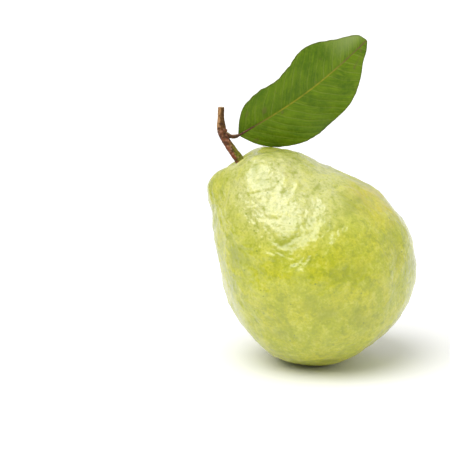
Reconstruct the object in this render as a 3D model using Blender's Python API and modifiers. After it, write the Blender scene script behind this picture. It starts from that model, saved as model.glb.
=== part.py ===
"""A whole guava lying on its lower cheek, with its twig, one leaf and its dried calyx.

Metres, +Z up. The origin is the centre of the flat spot that the fruit rests on, and the twig
leaves the fruit towards -X and +Z. The fruit's own axis runs from the blossom end to the stem end.
"""

import math

import bmesh
import bpy
from mathutils import Matrix, Vector, noise

MM = 0.001
CLEARANCE = 0.3 * MM
WELD_DISTANCE = 0.001 * MM

# Fruit: half of its outline, from the dimple at the stem end to the hollow at the blossom end,
# as (radius, height along the axis) measured from the middle of the belly.
FRUIT_OUTLINE_MM = (
    (0.0, 53.0),
    (4.4, 54.2),
    (9.6, 57.0),
    (16.0, 54.6),
    (22.2, 47.6),
    (27.2, 38.0),
    (33.0, 26.5),
    (38.0, 14.0),
    (40.2, 0.5),
    (38.4, -12.6),
    (32.6, -24.0),
    (22.8, -32.2),
    (12.0, -35.8),
    (4.8, -37.2),
    (0.0, -37.4),
)
FRUIT_SEGMENTS = 80
FRUIT_RINGS = 56
# The share of the outline where the dimple ends, and the steps in which a height is looked up.
DIMPLE_SHARE = 0.125
OUTLINE_LOOKUPS = 400
FRUIT_TILT = math.radians(41)
FRUIT_LEAN = math.radians(6)
BELLY_CENTRE = Vector((1.9, -0.4, 39.1)) * MM

# The neck is pushed sideways near its top, so the dimple sits off the axis.
NECK_SHIFT = 4.4 * MM
NECK_SHIFT_FROM = 32 * MM
NECK_SHIFT_TO = 57 * MM

# Broad lobes and hollows: turn about the axis, height along it, reach and rise.
# A turn of 0 is the upper right side of the resting fruit, 90 its back and 270 its front.
FRUIT_LOBES = (
    (180, 56 * MM, 9 * MM, 3.5 * MM),
    (0, 53 * MM, 10 * MM, -3.4 * MM),
    (335, 56 * MM, 6 * MM, -1.6 * MM),
    (80, -34 * MM, 8 * MM, -1.6 * MM),
    (290, 50 * MM, 10 * MM, 0.5 * MM),
    (110, 48 * MM, 13 * MM, 0.4 * MM),
    (180, 36 * MM, 15 * MM, -1.4 * MM),
    (0, 20 * MM, 17 * MM, 1.2 * MM),
    (250, 20 * MM, 18 * MM, 0.9 * MM),
    (50, -14 * MM, 16 * MM, 0.2 * MM),
    (150, 8 * MM, 17 * MM, 0.7 * MM),
    (310, -18 * MM, 14 * MM, -0.7 * MM),
)
# Uneven lumps all over, broad and small, and how far they lean towards the two ends.
LUMP_SIZE = 17 * MM
LUMP_HEIGHT = 0.9 * MM
KNOB_SIZE = 7.5 * MM
KNOB_HEIGHT = 0.28 * MM
KNOB_OFFSET = Vector((3.1, 5.7, 1.3))
LUMP_LEAN = 0.55

# Floor: the flat spot is cut level with z = 0.
FLOOR_CUTTER_SIDE = 120 * MM

# Twig: points along its middle with the radius there, from the socket up to the cut end.
TWIG_PATH_MM = (
    (-28.4, 4.1, 79.3, 1.75),
    (-30.3, 4.3, 82.3, 1.8),
    (-32.4, 4.6, 85.7, 1.8),
    (-35.1, 4.8, 89.5, 1.65),
    (-38.0, 5.2, 93.9, 1.55),
    (-39.3, 5.6, 96.9, 1.75),
    (-39.7, 5.6, 99.5, 1.7),
    (-39.8, 5.6, 102.3, 1.35),
    (-39.7, 5.6, 107.4, 1.2),
)
TWIG_STEPS = 5
TWIG_BURIED_POINTS = 3
TUBE_RESOLUTION = 4

# Leaf: its base, its tip and the direction across it, towards the upper margin.
LEAF_BASE = Vector((-32.0, 10.0, 95.0)) * MM
LEAF_TIP = Vector((21.0, 13.0, 134.4)) * MM
LEAF_ACROSS = Vector((-0.575, -0.2, 0.79))
# Half widths in mm at shares of the length, for the upper and the lower half of the blade.
LEAF_UPPER = (
    (0.0, 0.9),
    (0.06, 6.2),
    (0.13, 10.2),
    (0.25, 12.1),
    (0.38, 12.0),
    (0.5, 14.0),
    (0.62, 15.7),
    (0.74, 14.0),
    (0.85, 9.8),
    (0.94, 6.0),
    (1.0, 1.2),
)
LEAF_LOWER = (
    (0.0, 0.9),
    (0.05, 7.0),
    (0.12, 11.8),
    (0.2, 14.7),
    (0.35, 17.2),
    (0.5, 18.1),
    (0.65, 16.4),
    (0.76, 13.4),
    (0.84, 9.9),
    (0.9, 6.0),
    (0.96, 3.2),
    (1.0, 1.0),
)
LEAF_THICKNESS = 0.5 * MM
LEAF_CELLS_LONG = 52
LEAF_CELLS_WIDE = 20
# How the blade bends: bow in its plane, arch along it, trough at the midrib, curl of its halves.
MIDRIB_BOW = 1.9 * MM
LEAF_ARCH = 2.2 * MM
LEAF_TROUGH = 0.12
LEAF_CURL = 0.009 / MM
# Waves along its two margins; the lower margin is out of step with the upper one.
WAVE_HEIGHT = 1.1 * MM
WAVE_COUNT = 2.6
WAVE_WIDTH = 15 * MM
LOWER_WAVE_START = 0.4
MIDRIB_SINK = 0.35 * MM
MIDRIB_STEPS = 8
MIDRIB_TUBE_STEPS = 4
MIDRIB_END_SHARE = 0.98
MIDRIB_BASE_RADIUS = 0.7 * MM
MIDRIB_TIP_RADIUS = 0.32 * MM
# Petiole: points and radii from inside the twig's node to the base of the blade.
PETIOLE_PATH_MM = (
    (-39.1, 5.6, 97.3, 1.0),
    (-37.3, 6.1, 95.9, 0.95),
    (-35.7, 7.0, 94.9, 0.85),
    (-33.7, 8.8, 94.5, 0.8),
)

# Calyx: half section as (radius, height), then how the rim is divided into sepals.
CALYX_TURN = 80
CALYX_HEIGHT = -34 * MM
CALYX_SECTION_MM = (
    (0.0, 0.0),
    (3.2, 0.0),
    (3.8, 1.3),
    (4.6, 2.8),
    (5.6, 4.2),
    (5.1, 4.6),
    (4.0, 3.2),
    (3.1, 1.9),
    (1.7, 1.2),
    (0.8, 1.5),
    (0.0, 1.6),
)
CALYX_SEGMENTS = 60
SEPALS = 5
SEPAL_FROM = 1.3 * MM
SEPAL_INNER_RADIUS = 1.8 * MM
SEPAL_GAP = 0.75
SEPAL_BLUNTNESS = 0.8
CALYX_SEAT_RADIUS = 4.1 * MM
CALYX_SEAT_DEPTH = 1.0 * MM
CALYX_SEAT_OVER = 4.0 * MM
CALYX_SEAT_SIDES = 32
SKIN_STEP = 0.02

MATERIALS = {
    "fruit_skin": ((0.52, 0.56, 0.10), 0.38),
    "twig_bark": ((0.24, 0.14, 0.065), 0.75),
    "leaf_green": ((0.12, 0.19, 0.03), 0.45),
    "calyx_brown": ((0.16, 0.09, 0.045), 0.85),
}


def clear_scene():
    for thing in list(bpy.data.objects):
        bpy.data.objects.remove(thing, do_unlink=True)


def new_collection(name):
    collection = bpy.data.collections.new(name)
    bpy.context.scene.collection.children.link(collection)
    return collection


def new_material(name):
    colour, roughness = MATERIALS[name]
    material = bpy.data.materials.new(name)
    material.use_nodes = True
    shader = material.node_tree.nodes["Principled BSDF"]
    shader.inputs["Base Color"].default_value = (*colour, 1.0)
    shader.inputs["Roughness"].default_value = roughness
    return material


def add_object(name, shape, collection, material_name=None):
    """A named, smooth-shaded mesh object made from a bmesh. With no material, it is a helper."""
    mesh = bpy.data.meshes.new(name)
    bmesh.ops.recalc_face_normals(shape, faces=shape.faces)
    for face in shape.faces:
        face.smooth = True
    shape.to_mesh(mesh)
    shape.free()
    thing = bpy.data.objects.new(name, mesh)
    collection.objects.link(thing)
    if material_name:
        mesh.materials.append(new_material(material_name))
    else:
        thing.hide_render = True
        thing.display_type = "WIRE"
    return thing


def add_boolean(thing, operation, helper):
    modifier = thing.modifiers.new(helper.name, "BOOLEAN")
    modifier.operation = operation
    modifier.solver = "EXACT"
    modifier.object = helper


def smooth_step(value, low, high):
    share = min(max((value - low) / (high - low), 0.0), 1.0)
    return share * share * (3.0 - 2.0 * share)


def spline_point(points, share):
    """The point a share of the way along a smooth curve through evenly weighted points."""
    place = min(max(share, 0.0), 1.0) * (len(points) - 1)
    index = min(int(place), len(points) - 2)
    local = place - index
    before = points[index - 1] if index else 2 * points[0] - points[1]
    start, end = points[index], points[index + 1]
    after = points[index + 2] if index + 2 < len(points) else 2 * points[-1] - points[-2]
    bend = 2 * before - 5 * start + 4 * end - after
    twist = 3 * (start - end) + after - before
    return start + 0.5 * local * ((end - before) + local * (bend + local * twist))


def tube_shape(path, steps):
    """A closed round tube through points given as (centre, radius)."""
    curve = bpy.data.curves.new("tube", "CURVE")
    curve.dimensions = "3D"
    curve.bevel_depth = 1.0
    curve.bevel_resolution = TUBE_RESOLUTION
    curve.use_fill_caps = True
    spline = curve.splines.new("POLY")
    centres = [Vector((*centre, radius)) for centre, radius in path]
    count = (len(path) - 1) * steps + 1
    spline.points.add(count - 1)
    for index, point in enumerate(spline.points):
        place = spline_point(centres, index / (count - 1))
        point.co = (place[0], place[1], place[2], 1.0)
        point.radius = place[3]
    guide = bpy.data.objects.new("tube", curve)
    bpy.context.scene.collection.objects.link(guide)
    graph = bpy.context.evaluated_depsgraph_get()
    mesh = bpy.data.meshes.new_from_object(guide.evaluated_get(graph))
    shape = bmesh.new()
    shape.from_mesh(mesh)
    bmesh.ops.remove_doubles(shape, verts=shape.verts, dist=WELD_DISTANCE)
    bpy.data.objects.remove(guide, do_unlink=True)
    bpy.data.curves.remove(curve)
    bpy.data.meshes.remove(mesh)
    return shape


def path_in_metres(path_mm, extra_radius=0.0):
    return [(Vector((x, y, z)) * MM, radius * MM + extra_radius) for x, y, z, radius in path_mm]


def fruit_axes():
    """The fruit's own axis and two directions across it: to its upper right and to its back."""
    lean = Matrix.Rotation(-FRUIT_LEAN, 3, "X")
    tilt = Matrix.Rotation(-FRUIT_TILT, 3, "Y")
    turn = lean @ tilt
    return turn @ Vector((0, 0, 1)), turn @ Vector((1, 0, 0)), turn @ Vector((0, 1, 0))


def fruit_outline():
    """The outline in metres, with a mirrored point past each end so that it crosses the axis flat."""
    inner = [Vector((radius, height)) * MM for radius, height in FRUIT_OUTLINE_MM]
    first, last = inner[1], inner[-2]
    return [Vector((-first.x, first.y))] + inner + [Vector((-last.x, last.y))]


def smooth_fruit_point(outline, share, turn):
    """A point of the fruit before its lobes and lumps, in the fruit's own frame."""
    steps = len(outline) - 1
    radius, height = spline_point(outline, (1 + share * (steps - 2)) / steps)
    shift = NECK_SHIFT * smooth_step(height, NECK_SHIFT_FROM, NECK_SHIFT_TO)
    return Vector((radius * math.cos(turn) + shift, radius * math.sin(turn), height))


def share_at(outline, height):
    """How far along the outline the given height is first met below the rim of the dimple."""
    first = round(DIMPLE_SHARE * OUTLINE_LOOKUPS)
    shares = [step / OUTLINE_LOOKUPS for step in range(first, OUTLINE_LOOKUPS + 1)]
    return min(shares, key=lambda share: abs(smooth_fruit_point(outline, share, 0.0).z - height))


def fruit_lobes(outline):
    """Each lobe's centre on the smooth fruit, with its reach and rise."""
    lobes = []
    for turn, height, reach, rise in FRUIT_LOBES:
        centre = smooth_fruit_point(outline, share_at(outline, height), math.radians(turn))
        lobes.append((centre, reach, rise))
    return lobes


def fruit_point(outline, lobes, share, turn):
    """A point of the fruit's skin."""
    point = smooth_fruit_point(outline, share, turn)
    outward = Vector((point.x, point.y, LUMP_LEAN * point.z)).normalized()
    rise = LUMP_HEIGHT * noise.noise(point / LUMP_SIZE)
    rise += KNOB_HEIGHT * noise.noise(point / KNOB_SIZE + KNOB_OFFSET)
    for centre, reach, height in lobes:
        rise += height * math.exp(-(((point - centre).length / reach) ** 2))
    own = point + outward * rise
    axis, right, back = fruit_axes()
    return BELLY_CENTRE + right * own.x + back * own.y + axis * own.z


def fruit_body(outline, lobes):
    shape = bmesh.new()
    bmesh.ops.create_uvsphere(shape, u_segments=FRUIT_SEGMENTS, v_segments=FRUIT_RINGS, radius=1.0)
    for vertex in shape.verts:
        share = math.acos(min(max(vertex.co.z, -1.0), 1.0)) / math.pi
        turn = math.atan2(vertex.co.y, vertex.co.x)
        vertex.co = fruit_point(outline, lobes, share, turn)
    return shape


def floor_cutter(helpers):
    shape = bmesh.new()
    bmesh.ops.create_cube(shape, size=FLOOR_CUTTER_SIDE)
    bmesh.ops.translate(shape, verts=shape.verts, vec=(0, 0, -FLOOR_CUTTER_SIDE / 2))
    return add_object("floor_cutter", shape, helpers)


def twig_socket_cutter(helpers):
    """A hole round the buried end of the twig, one clearance wider and deeper than it."""
    path = path_in_metres(TWIG_PATH_MM[:TWIG_BURIED_POINTS], CLEARANCE)
    end, radius = path[0]
    down = (end - path[1][0]).normalized()
    path[0] = (end + down * CLEARANCE, radius)
    return add_object("twig_socket_cutter", tube_shape(path, TWIG_STEPS), helpers)


def calyx_place(outline, lobes):
    """Where the calyx sits on the skin, and the way the skin faces there."""

    def skin(share_step, turn_step):
        return fruit_point(outline, lobes, share + share_step, turn + turn_step)

    share = share_at(outline, CALYX_HEIGHT)
    turn = math.radians(CALYX_TURN)
    along = skin(SKIN_STEP, 0) - skin(-SKIN_STEP, 0)
    round_it = skin(0, SKIN_STEP) - skin(0, -SKIN_STEP)
    return skin(0, 0), along.cross(round_it).normalized()


def stand_on(shape, place, facing):
    """Turns a shape built along +Z to face outwards at a place."""
    turn = facing.to_track_quat("Z", "Y").to_matrix().to_4x4()
    bmesh.ops.transform(shape, matrix=Matrix.Translation(place) @ turn, verts=shape.verts)


def calyx_seat_cutter(place, facing, helpers):
    shape = bmesh.new()
    depth = CALYX_SEAT_DEPTH + CALYX_SEAT_OVER
    bmesh.ops.create_cone(
        shape,
        cap_ends=True,
        segments=CALYX_SEAT_SIDES,
        radius1=CALYX_SEAT_RADIUS,
        radius2=CALYX_SEAT_RADIUS,
        depth=depth,
    )
    bmesh.ops.translate(shape, verts=shape.verts, vec=(0, 0, depth / 2 - CALYX_SEAT_DEPTH))
    stand_on(shape, place, facing)
    return add_object("calyx_seat_cutter", shape, helpers)


def build_fruit(outline, lobes, calyx, parts, helpers):
    fruit = add_object("fruit", fruit_body(outline, lobes), parts, "fruit_skin")
    add_boolean(fruit, "DIFFERENCE", floor_cutter(helpers))
    add_boolean(fruit, "DIFFERENCE", twig_socket_cutter(helpers))
    add_boolean(fruit, "DIFFERENCE", calyx_seat_cutter(*calyx, helpers))


def build_stem(parts):
    add_object("stem", tube_shape(path_in_metres(TWIG_PATH_MM), TWIG_STEPS), parts, "twig_bark")


def half_width(table, share):
    """A half width of the blade from its table, smoothed between the points."""
    index = max(i for i, (at, _) in enumerate(table[:-1]) if at <= share)
    (low, start), (high, end) = table[index], table[index + 1]
    before = table[max(index - 1, 0)]
    after = table[min(index + 2, len(table) - 1)]
    leaving = (end - before[1]) / (high - before[0]) * (high - low)
    arriving = (after[1] - start) / (after[0] - low) * (high - low)
    t = (share - low) / (high - low)
    value = start * (2 * t**3 - 3 * t**2 + 1) + leaving * (t**3 - 2 * t**2 + t)
    value += end * (3 * t**2 - 2 * t**3) + arriving * (t**3 - t**2)
    return value * MM


def leaf_axes():
    """Along the blade, across it to the upper margin, and the way its upper side faces."""
    along = (LEAF_TIP - LEAF_BASE).normalized()
    across = (LEAF_ACROSS - along * LEAF_ACROSS.dot(along)).normalized()
    return along, across, along.cross(across)


def leaf_point(share, width, raised=0.0):
    """A point of the blade: a share of the length, a distance across, a height above the blade."""
    along, across, facing = leaf_axes()
    arch = LEAF_ARCH * math.sin(math.pi * share)
    fold = LEAF_TROUGH * abs(width) - LEAF_CURL * width * width
    side = 0.0 if width > 0 else LOWER_WAVE_START
    wave = WAVE_HEIGHT * (width / WAVE_WIDTH) ** 2 * math.sin(math.tau * (WAVE_COUNT * share + side))
    length = (LEAF_TIP - LEAF_BASE).length
    place = LEAF_BASE + along * (share * length)
    place = place + across * (width - MIDRIB_BOW * math.sin(math.pi * share))
    return place + facing * (arch + fold + wave + raised)


def blade_shape():
    shape = bmesh.new()
    bmesh.ops.create_grid(
        shape,
        x_segments=LEAF_CELLS_LONG,
        y_segments=LEAF_CELLS_WIDE,
        size=0.5,
    )
    for vertex in shape.verts:
        share = min(max(vertex.co.x + 0.5, 0.0), 1.0)
        part = 2 * vertex.co.y
        table = LEAF_UPPER if part > 0 else LEAF_LOWER
        vertex.co = leaf_point(share, part * half_width(table, share))
    return shape


def leaf_rib_helper(helpers):
    """The petiole and the midrib under the blade as one tapering tube, to be joined to the blade."""
    path = path_in_metres(PETIOLE_PATH_MM)
    for step in range(MIDRIB_STEPS + 1):
        share = MIDRIB_END_SHARE * step / MIDRIB_STEPS
        radius = MIDRIB_BASE_RADIUS + (MIDRIB_TIP_RADIUS - MIDRIB_BASE_RADIUS) * share
        path.append((leaf_point(share, 0.0, -MIDRIB_SINK), radius))
    return add_object("leaf_rib", tube_shape(path, MIDRIB_TUBE_STEPS), helpers)


def twig_clearance_cutter(helpers):
    path = path_in_metres(TWIG_PATH_MM[TWIG_BURIED_POINTS:], CLEARANCE)
    return add_object("twig_clearance", tube_shape(path, TWIG_STEPS), helpers)


def build_leaf(parts, helpers):
    leaf = add_object("leaf", blade_shape(), parts, "leaf_green")
    solidify = leaf.modifiers.new("thickness", "SOLIDIFY")
    solidify.thickness = LEAF_THICKNESS
    solidify.offset = -1.0
    add_boolean(leaf, "UNION", leaf_rib_helper(helpers))
    add_boolean(leaf, "DIFFERENCE", twig_clearance_cutter(helpers))


def build_calyx(place, facing, parts):
    shape = bmesh.new()
    points = [shape.verts.new((radius * MM, 0, height * MM)) for radius, height in CALYX_SECTION_MM]
    edges = [shape.edges.new(pair) for pair in zip(points, points[1:])]
    bmesh.ops.spin(
        shape,
        geom=points + edges,
        cent=(0, 0, 0),
        axis=(0, 0, 1),
        angle=math.tau,
        steps=CALYX_SEGMENTS,
        use_merge=True,
    )
    bmesh.ops.remove_doubles(shape, verts=shape.verts, dist=WELD_DISTANCE)
    for vertex in shape.verts:
        over = vertex.co.z - SEPAL_FROM
        if over > 0 and vertex.co.xy.length > SEPAL_INNER_RADIUS:
            turn = math.atan2(vertex.co.y, vertex.co.x)
            sepal = abs(math.cos(turn * SEPALS / 2)) ** SEPAL_BLUNTNESS
            vertex.co.z = SEPAL_FROM + over * (1 - SEPAL_GAP * (1 - sepal))
    stand_on(shape, place - facing * (CALYX_SEAT_DEPTH - CLEARANCE), facing)
    add_object("calyx", shape, parts, "calyx_brown")


def main():
    clear_scene()
    parts = new_collection("guava")
    helpers = new_collection("helpers")
    helpers.hide_render = True
    outline = fruit_outline()
    lobes = fruit_lobes(outline)
    calyx = calyx_place(outline, lobes)
    build_fruit(outline, lobes, calyx, parts, helpers)
    build_stem(parts)
    build_leaf(parts, helpers)
    build_calyx(*calyx, parts)


main()
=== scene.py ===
"""The looks of the guava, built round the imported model: the lumpy skin of the fruit, the bark of
its twig, the veined leaf and the dried calyx. Metres, +Z up, in the model's own frame.
"""

import math

import bmesh
import bpy
import numpy as np
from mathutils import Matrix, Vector, noise
from mathutils.bvhtree import BVHTree


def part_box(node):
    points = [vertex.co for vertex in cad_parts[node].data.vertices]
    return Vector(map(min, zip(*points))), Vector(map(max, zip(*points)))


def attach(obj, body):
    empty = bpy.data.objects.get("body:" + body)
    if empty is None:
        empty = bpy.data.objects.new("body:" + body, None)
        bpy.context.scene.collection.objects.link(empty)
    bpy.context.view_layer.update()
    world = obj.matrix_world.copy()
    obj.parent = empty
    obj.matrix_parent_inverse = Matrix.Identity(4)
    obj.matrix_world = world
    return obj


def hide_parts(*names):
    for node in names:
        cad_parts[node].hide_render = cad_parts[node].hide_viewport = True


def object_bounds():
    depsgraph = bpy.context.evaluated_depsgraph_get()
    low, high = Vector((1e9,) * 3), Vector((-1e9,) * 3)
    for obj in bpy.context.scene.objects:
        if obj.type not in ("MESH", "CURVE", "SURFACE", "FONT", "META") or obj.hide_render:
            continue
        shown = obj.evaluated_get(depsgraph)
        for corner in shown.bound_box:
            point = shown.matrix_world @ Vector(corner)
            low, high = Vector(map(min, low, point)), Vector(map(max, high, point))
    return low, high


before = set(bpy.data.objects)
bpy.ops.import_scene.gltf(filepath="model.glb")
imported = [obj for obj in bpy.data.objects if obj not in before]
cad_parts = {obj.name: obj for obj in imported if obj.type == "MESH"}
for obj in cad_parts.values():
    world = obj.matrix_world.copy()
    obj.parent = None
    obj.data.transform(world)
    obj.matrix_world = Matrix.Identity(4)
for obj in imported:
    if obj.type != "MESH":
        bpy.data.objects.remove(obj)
cad_low, cad_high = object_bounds()

MM = 0.001

# Where, from the point itself, the three values of a noise vector are read.
NOISE_SHIFTS = ((9.3, -1.5, -7.9), (-2.7, 6.4, 3.1), (4.8, 8.2, -5.6))

# Fruit: cells along each edge of the cube that is blown up into the skin, and its relief.
SKIN_CELLS = 124
SKIN_SMOOTHING = 3
SOCKET_REACH = 2.7 * MM
SOCKET_MARGIN = 1 * MM
CALYX_SEAT_REACH = 5.2 * MM
SOCKET_FILL_ROUNDS = 400
FRUIT_CENTRE_RISE = -3 * MM
SWELL_SIZE = 13 * MM
SWELL_HEIGHT = 0.6 * MM
DENT_SIZE = 6.2 * MM
DENT_HEIGHT = 0.48 * MM
WRINKLE_SIZE = 3.2 * MM
WRINKLE_HEIGHT = 0.2 * MM
PEBBLE_SIZE = 2.3 * MM
PEBBLE_HEIGHT = 0.10 * MM
WARP_SIZE = 9 * MM
WARP_STRENGTH = 0.7
WRINKLE_WARP = 1.7
# The relief is strongest on the neck, within these distances of the twig, and fades at the floor.
NECK_FROM = 30 * MM
NECK_TO = 80 * MM
REST_FADE = 6 * MM
# The belly has these shares of the neck's dents and of its wrinkles.
BELLY_DENTS = 0.65
BELLY_WRINKLES = 0.4
# The shoulder in front of the twig stands a little higher than in the CAD model.
SHOULDER_PLACE = (-0.0385, -0.003, 0.082)
SHOULDER_REACH = 11 * MM
SHOULDER_RISE = np.array((0.0005, 0.0, 0.0021))

# Twig: points along its middle with the radius there, as in the CAD model.
TWIG_PATH_MM = (
    (-28.4, 4.1, 79.3, 1.75),
    (-30.3, 4.3, 82.3, 1.8),
    (-32.4, 4.6, 85.7, 1.8),
    (-35.1, 4.8, 89.5, 1.65),
    (-38.0, 5.2, 93.9, 1.55),
    (-39.3, 5.6, 96.9, 1.75),
    (-39.7, 5.6, 99.5, 1.7),
    (-39.8, 5.6, 102.3, 1.35),
    (-39.7, 5.6, 107.4, 1.2),
)
TWIG_RINGS = 190
TWIG_SIDES = 56
NODE_SHARE = 0.64
NODE_LENGTH = 0.028
NODE_SCAR = 0.035
NODE_SCAR_LENGTH = 0.008
TWIG_FULLNESS = 1.08
# Rows that close the twig's cut end: a share of its radius, and how far beyond the end.
CUT_END_ROWS = (
    (0.97, 0.05 * MM),
    (0.86, 0.08 * MM),
    (0.62, 0.0),
    (0.36, -0.07 * MM),
    (0.12, -0.16 * MM),
)

# Leaf: its base, its tip, the way across it, as in the CAD model, and its half widths, which
# are a little wider than the CAD model's on the lower side and at the tip.
LEAF_BASE = Vector((-32.0, 10.0, 95.0)) * MM
LEAF_TIP = Vector((21.0, 13.0, 134.4)) * MM
LEAF_ACROSS = Vector((-0.575, -0.2, 0.79))
LEAF_UPPER = (
    (0.0, 0.9),
    (0.06, 6.2),
    (0.13, 10.2),
    (0.25, 12.1),
    (0.38, 12.0),
    (0.5, 14.0),
    (0.62, 15.7),
    (0.74, 14.0),
    (0.85, 9.8),
    (0.94, 6.4),
    (0.98, 4.0),
    (1.0, 0.5),
)
LEAF_LOWER = (
    (0.0, 0.9),
    (0.05, 7.0),
    (0.12, 12.2),
    (0.2, 15.5),
    (0.35, 17.8),
    (0.5, 18.4),
    (0.65, 16.4),
    (0.76, 13.4),
    (0.84, 9.9),
    (0.9, 6.0),
    (0.96, 3.2),
    (1.0, 0.4),
)
LEAF_CELLS_LONG = 230
LEAF_CELLS_HALF = 56
LEAF_THICKNESS = 0.32 * MM
LEAF_NICK = 0.02
LEAF_NICKS = 30
CREASE_HEIGHT = 0.05 * MM
CREASE_SIZE = 1.1 * MM
MIDRIB_BOW = 1.9 * MM
LEAF_ARCH = 2.2 * MM
LEAF_TROUGH = 0.12
LEAF_CURL = 0.009 / MM
WAVE_HEIGHT = 1.1 * MM
WAVE_COUNT = 2.6
WAVE_WIDTH = 15 * MM
LOWER_WAVE_START = 0.4
VEIN_PAIRS = 15
VEIN_SPACING = 4.4 * MM
VEIN_WIDTH = 0.24 * MM
VEIN_RIDGE = 0.12 * MM
VEIN_SWEEP = 0.15
VEIN_BEND = 0.07
VEIN_DEPTH = 0.07 * MM
QUILT_HEIGHT = 0.16 * MM
MIDRIB_GROOVE = 0.28 * MM
MIDRIB_GROOVE_WIDTH = 0.5 * MM
MIDRIB_BASE_RADIUS = 0.7 * MM
MIDRIB_TIP_RADIUS = 0.3 * MM
# The petiole's path, a little thicker than in the CAD model, and how far it goes under the blade.
PETIOLE_PATH_MM = (
    (-38.6, 5.7, 96.9, 1.2),
    (-37.3, 6.1, 96.0, 1.06),
    (-35.7, 7.0, 95.0, 0.93),
    (-33.7, 8.8, 94.7, 0.92),
)
PETIOLE_INTO_BLADE = (0.0, 0.03, 0.07, 0.11)
PETIOLE_RINGS = 90
PETIOLE_SIDES = 28
PETIOLE_FLAT_TOP = 0.16
PETIOLE_ROUGHNESS = 0.06

# Calyx: a cup with five curled sepals and the dried stamens inside.
SEPALS = 5
SEPAL_LENGTH = 5.0 * MM
SEPAL_HALF_WIDTH = 1.9 * MM
SEPAL_THICKNESS = 0.28 * MM
SEPAL_CELLS = 22
CUP_RADIUS = 2.7 * MM
CUP_SIDES = 72
# Rows of the cup from its outer foot over its rim to its floor: radius and height.
CUP_SECTION_MM = (
    (4.3, 0.55),
    (3.9, 1.05),
    (3.45, 1.5),
    (3.15, 2.0),
    (2.9, 2.35),
    (2.6, 2.3),
    (2.3, 1.8),
    (1.7, 1.35),
    (0.9, 1.45),
    (0.3, 1.75),
)
STAMENS = 34
STAMEN_RADIUS = 0.09 * MM
STAMEN_SEED = 5
STAMEN_RINGS = 7
STAMEN_SIDES = 6
# The stamens are spread evenly over the cup's floor by steps of the golden section.
GOLDEN_TURN = 0.381966
GOLDEN_STEP = 0.618034

# Patterns in the materials: how big they are, and how deep their bumps.
SKIN_MOTTLE = 9 * MM
SKIN_FINE_MOTTLE = 3.4 * MM
SKIN_SPECK = 1 * MM
SKIN_DOT_SPACING = 3.7 * MM
SKIN_SCAR_SPACING = 17 * MM
SKIN_SCAR_EDGE = 1.6 * MM
SKIN_GLOSS_PATCH = 4 * MM
BLUSH_PATCH = 6 * MM
FINE_WRINKLE = 2.3 * MM
FINE_WRINKLE_DEPTH = 0.14 * MM
FINE_PEBBLE = 1.9 * MM
FINE_PEBBLE_DEPTH = 0.07 * MM
SKIN_GRAIN = 1.2 * MM
SKIN_GRAIN_DEPTH = 0.11 * MM
SKIN_PORE = 0.8 * MM
SKIN_PORE_DEPTH = 0.018 * MM
SKIN_FINE_GRAIN = 0.9 * MM
SKIN_FINE_GRAIN_DEPTH = 0.05 * MM
# The skin darkens within these distances of the twig and of the calyx, from full to none.
STEM_STAIN = (4 * MM, 12 * MM)
STEM_RING = (2.6 * MM, 4.6 * MM)
CALYX_STAIN = (5 * MM, 11 * MM)
CALYX_RING = (3.6 * MM, 6 * MM)
# Where the painted highlight on the neck and the orange blush are strongest, and how far they
# reach.
PAINTED_HIGHLIGHT_PLACE = (-0.014, -0.019, 0.084)
PAINTED_HIGHLIGHT_REACH = 46 * MM
BLUSH_PLACE = (0.023, -0.010, 0.072)
BLUSH_REACH = 20 * MM
# The wax on the skin, and the light that gets a little way into the flesh.
WAX_ROUGHNESS = 0.25
WAX_IOR = 1.68
FLESH_GLOW = 0.1
FLESH_GLOW_REACH = 1.2 * MM
FLESH_GLOW_COLOUR = (1.0, 0.85, 0.25)
BARK_STREAK = 0.9 * MM
BARK_STREAK_DEPTH = 0.28 * MM
BARK_PATCH = 2.6 * MM
BARK_STAIN = 1.3 * MM
BARK_FLECK_SPACING = 1.6 * MM
BARK_GRAIN = 0.45 * MM
BARK_GRAIN_DEPTH = 0.09 * MM
LEAF_MOTTLE = 9 * MM
LEAF_GRAIN = 1.5 * MM
LEAF_GRAIN_DEPTH = 0.07 * MM
LEAF_BLOTCH_SIZE = 7.5 * MM
LEAF_NET = 1.15 * MM
LEAF_NET_DEPTH = 0.035 * MM
PETIOLE_STREAK = 0.9 * MM
PETIOLE_STREAK_DEPTH = 0.12 * MM
PETIOLE_GRAIN = 0.3 * MM
PETIOLE_GRAIN_DEPTH = 0.04 * MM
AXIL_REACH = 4.2 * MM
CALYX_STREAK = 0.9 * MM
CALYX_STREAK_DEPTH = 0.3 * MM
CALYX_PATCH = 2.4 * MM
CALYX_GRAIN = 0.4 * MM
CALYX_GRAIN_DEPTH = 0.08 * MM

# Colours, in linear light.
SKIN_GREEN = (0.42, 0.45, 0.004)
SKIN_YELLOW = (0.50, 0.50, 0.007)
SKIN_PALE = (0.64, 0.635, 0.10)
SKIN_DEEP = (0.28, 0.32, 0.002)
SKIN_PAINTED_HIGHLIGHT = (0.60, 0.605, 0.27)
SKIN_BLUSH = (0.58, 0.47, 0.035)
SKIN_DOT = (0.20, 0.26, 0.012)
SKIN_SCAR = (0.34, 0.27, 0.06)
SKIN_RING = (0.17, 0.12, 0.035)
BARK_TAN = (0.38, 0.21, 0.085)
BARK_DARK = (0.115, 0.055, 0.013)
BARK_BROWN = (0.13, 0.058, 0.018)
BARK_RED = (0.23, 0.07, 0.034)
BARK_GREEN = (0.19, 0.20, 0.016)
BARK_PINK = (0.42, 0.23, 0.15)
BARK_CRACK = (0.05, 0.02, 0.012)
BARK_PALE = (0.42, 0.30, 0.17)
LEAF_DARK = (0.075, 0.150, 0.002)
LEAF_GREEN = (0.125, 0.215, 0.003)
LEAF_LIGHT = (0.185, 0.275, 0.012)
LEAF_STRIPE = (0.060, 0.13, 0.003)
LEAF_VEIN = (0.19, 0.26, 0.03)
LEAF_BLOTCH = (0.13, 0.115, 0.03)
LEAF_SHEEN = (0.36, 0.45, 0.14)
LEAF_MARGIN = (0.09, 0.10, 0.015)
LEAF_RIB = (0.31, 0.29, 0.02)
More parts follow.
